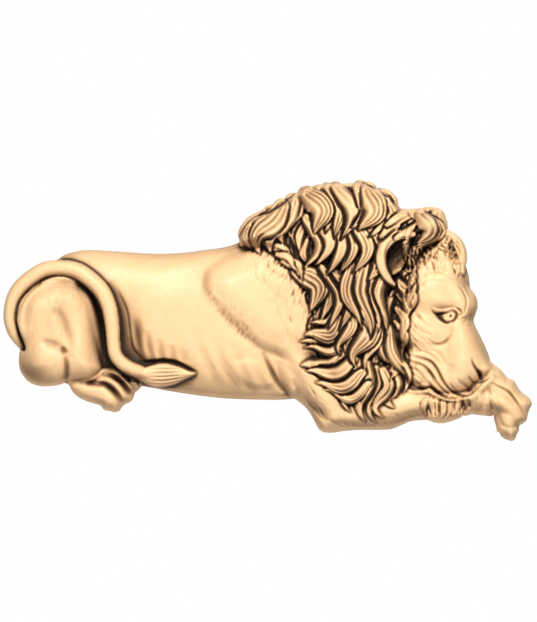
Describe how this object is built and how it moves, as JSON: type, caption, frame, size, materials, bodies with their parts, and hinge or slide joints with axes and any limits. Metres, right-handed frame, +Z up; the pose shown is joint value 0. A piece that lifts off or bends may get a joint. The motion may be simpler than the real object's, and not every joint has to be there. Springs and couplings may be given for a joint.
{
  "type": "lion relief",
  "caption": "Carved wooden relief of a lion lying down with its head on its crossed forepaws, flat behind for fixing to a panel.",
  "frame": {"origin": "a point on the flat back face, midway along the drawing and near mid height", "axes": "+X towards the lion's head and forepaws, +Y out of the flat back towards the panel, +Z up"},
  "size_m": [0.5282, 0.0741, 0.2611],
  "materials": {
    "carved_wood": "pale close-grained limewood, oiled, with a dark brown patina rubbed into the cuts"
  },
  "bodies": {
    "root": {"lion_relief": "carved_wood"}
  },
  "joints": []
}
